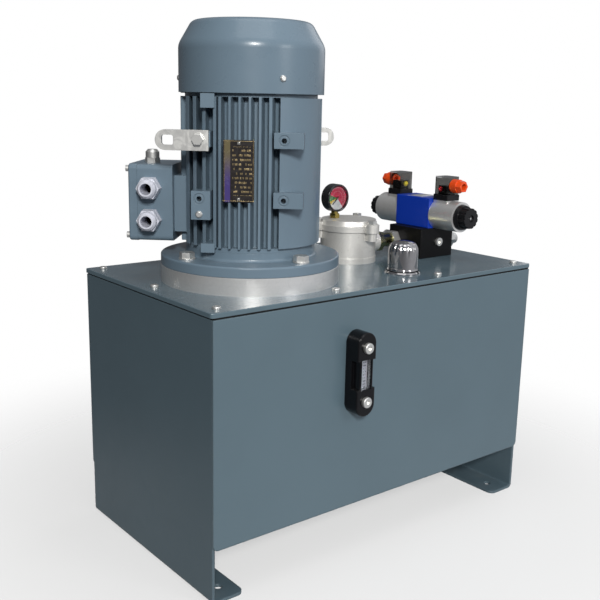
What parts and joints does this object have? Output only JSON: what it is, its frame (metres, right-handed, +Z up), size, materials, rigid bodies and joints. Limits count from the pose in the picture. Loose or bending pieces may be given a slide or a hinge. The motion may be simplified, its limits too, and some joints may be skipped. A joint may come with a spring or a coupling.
{
  "type": "hydraulic power unit",
  "caption": "Hydraulic power unit: a steel oil tank carrying a vertical finned electric motor, return filter, chromed breather, manifold and solenoid valve.",
  "frame": {"origin": "on the floor, at the centre of the four foot holes", "axes": "+Z up, +X along the tank from the motor end to the valve end, front panel with the level gauge towards -Y"},
  "size_m": [0.6144, 0.37, 0.7345],
  "materials": {
    "tank_paint": "semi-gloss blue-grey",
    "motor_paint": "semi-gloss blue-grey over castings",
    "inner_steel": "oiled mill finish",
    "gasket_rubber": "matt",
    "zinc_steel": "zinc plated",
    "machined_aluminium": "turned",
    "cast_aluminium": "satin cast",
    "chrome": "polished",
    "laminated_steel": "laminated core",
    "copper_winding": "varnished wire",
    "nameplate_black": "black with gold marks",
    "fan_plastic": "moulded black",
    "gland_plastic": "light grey moulded",
    "spider_plastic": "red elastomer",
    "pump_aluminium": "machined extrusion",
    "tube_steel": "bright drawn",
    "strainer_mesh": "woven mesh",
    "filter_paper": "pleated paper",
    "gauge_black": "black case, brass stem",
    "gauge_dial": "printed dial",
    "black_plastic": "moulded black",
    "clear_window": "clear",
    "scale_white": "printed white",
    "manifold_black": "satin black",
    "passivated_steel": "olive passivated",
    "valve_blue": "bright blue",
    "coil_steel": "nickel plated",
    "smoke_clear": "smoky clear plastic",
    "orange_plastic": "orange moulded",
    "ground_steel": "ground"
  },
  "bodies": {
    "power_unit": {"end_plate_left": "tank_paint", "end_plate_right": "tank_paint", "front_panel": "tank_paint", "rear_panel": "tank_paint", "tank_bottom": "tank_paint", "baffle_plate": "inner_steel", "lid_rim": "inner_steel", "lid_gasket": "gasket_rubber", "lid": "tank_paint", "machine_screws": "zinc_steel", "drain_plug": "zinc_steel", "level_gauge_body": "black_plastic", "level_gauge_window": "clear_window", "level_gauge_scale": "scale_white", "level_gauge_bolts": "zinc_steel", "bellhousing": "machined_aluminium", "motor_flange": "motor_paint", "motor_housing": "motor_paint", "rear_end_shield": "motor_paint", "fan_cover": "motor_paint", "motor_bolts": "zinc_steel", "stator_core": "laminated_steel", "stator_windings": "copper_winding", "motor_bearings": "ground_steel", "lifting_lugs": "zinc_steel", "nameplate": "nameplate_black", "terminal_box": "motor_paint", "terminal_box_cover": "motor_paint", "cable_glands": "gland_plastic", "pump_body": "pump_aluminium", "pump_covers": "pump_aluminium", "pump_tubes": "tube_steel", "suction_strainer": "strainer_mesh", "filter_head": "cast_aluminium", "filter_cover": "cast_aluminium", "filter_element": "filter_paper", "clogging_gauge_case": "gauge_black", "clogging_gauge_dial": "gauge_dial", "breather_base": "chrome", "manifold_block": "manifold_black", "manifold_fittings": "zinc_steel", "return_pipe": "passivated_steel", "valve_body": "valve_blue", "solenoid_coils": "coil_steel", "coil_nuts": "black_plastic", "connector_bases": "black_plastic", "connector_covers": "smoke_clear", "connector_glands": "orange_plastic"},
    "rotor": {"motor_shaft": "ground_steel", "rotor_core": "laminated_steel", "fan": "fan_plastic", "coupling_hub_motor": "machined_aluminium", "coupling_spider": "spider_plastic", "coupling_hub_pump": "machined_aluminium", "pump_drive_gear": "ground_steel"},
    "driven_gear": {"pump_driven_gear": "ground_steel"},
    "gauge_needle": {"clogging_gauge_needle": "black_plastic"},
    "breather_cap": {"breather_cap": "chrome"},
    "relief_screw": {"relief_screw": "zinc_steel"},
    "spool": {"valve_spool": "ground_steel"}
  },
  "joints": [
    {"name": "motor_spin", "type": "hinge", "parent": "power_unit", "child": "rotor", "pos_m": [-0.14, -0.02, 0.4], "axis": [0, 0, 1], "continuous": true},
    {"name": "pump_gear_spin", "type": "hinge", "parent": "power_unit", "child": "driven_gear", "pos_m": [-0.112, -0.02, 0.24], "axis": [0, 0, 1], "continuous": true},
    {"name": "needle_turn", "type": "hinge", "parent": "power_unit", "child": "gauge_needle", "pos_m": [0.0595, 0.0314, 0.484], "axis": [0, 1, 0], "range_deg": [0, 270], "stiffness_Nm_per_rad": 0.0005},
    {"name": "breather_twist", "type": "hinge", "parent": "power_unit", "child": "breather_cap", "pos_m": [0.074, -0.11, 0.41], "axis": [0, 0, 1], "range_deg": [0, 60]},
    {"name": "relief_turn", "type": "hinge", "parent": "power_unit", "child": "relief_screw", "pos_m": [0.2005, 0.06, 0.411], "axis": [0, 1, 0], "range_deg": [-540, 540]},
    {"name": "spool_shift", "type": "slide", "parent": "power_unit", "child": "spool", "axis": [0, 1, 0], "range_m": [-0.003, 0.003], "stiffness_N_per_m": 2500}
  ],
  "couplings": [
    {"joint": "pump_gear_spin", "follows": "motor_spin", "ratio": -1}
  ]
}
